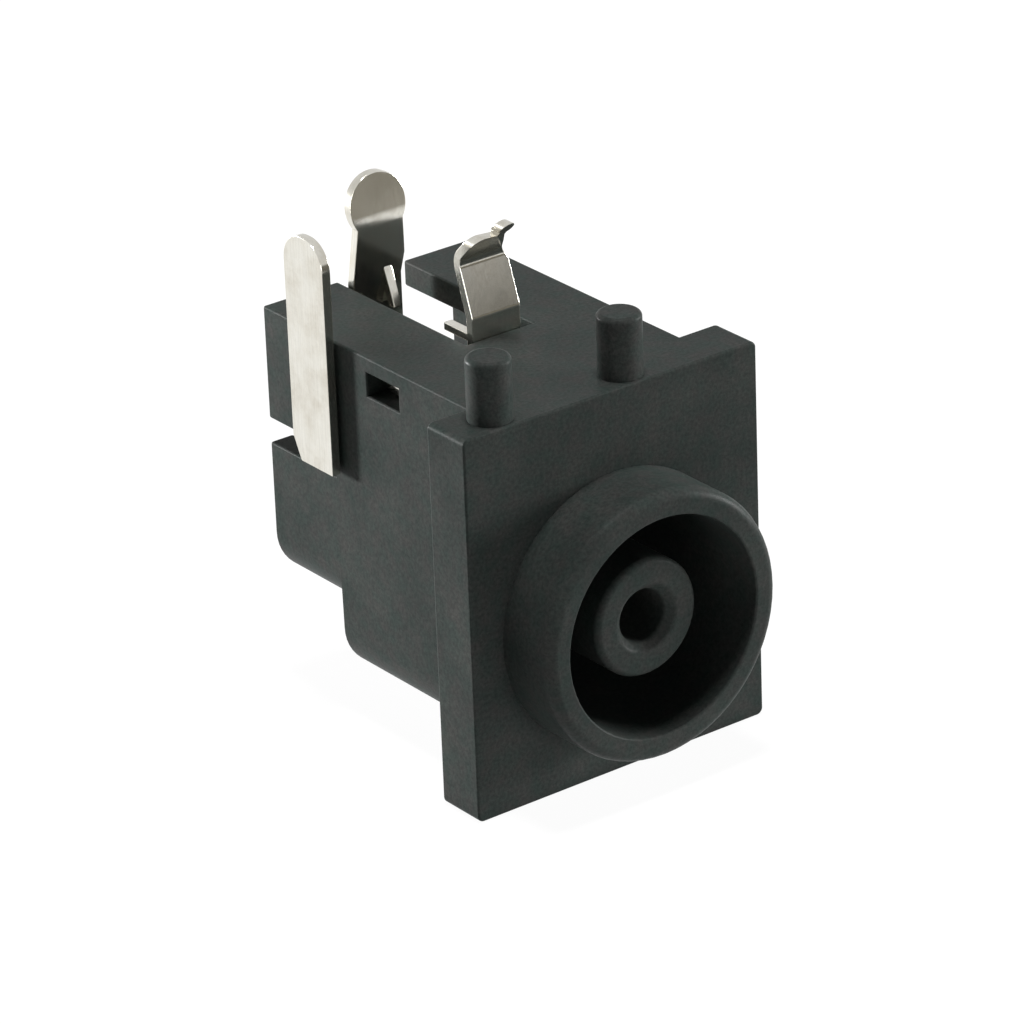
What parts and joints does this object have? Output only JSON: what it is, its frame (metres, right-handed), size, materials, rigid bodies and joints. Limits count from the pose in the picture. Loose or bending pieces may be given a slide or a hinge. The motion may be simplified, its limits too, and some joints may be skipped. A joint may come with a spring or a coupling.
{
  "type": "dc barrel jack",
  "caption": "Board-mount power socket: black moulded flange and collar around a barrel with a centre post, locating pegs and bent metal solder terminals on the board side.",
  "frame": {"origin": "on the barrel axis, in the front plane of the flange, which lies inside the pin's bore", "axes": "+X to the right seen from the plug, +Y into the socket along the barrel, +Z to the circuit board and its terminals"},
  "size_m": [0.0104, 0.0137, 0.0155],
  "materials": {
    "housing_plastic": "fine matte moulded",
    "plated_metal": "bright tin plating"
  },
  "bodies": {
    "root": {"housing": "housing_plastic", "centre_contact": "plated_metal", "sleeve_contact": "plated_metal", "shunt_contact": "plated_metal"}
  },
  "joints": []
}
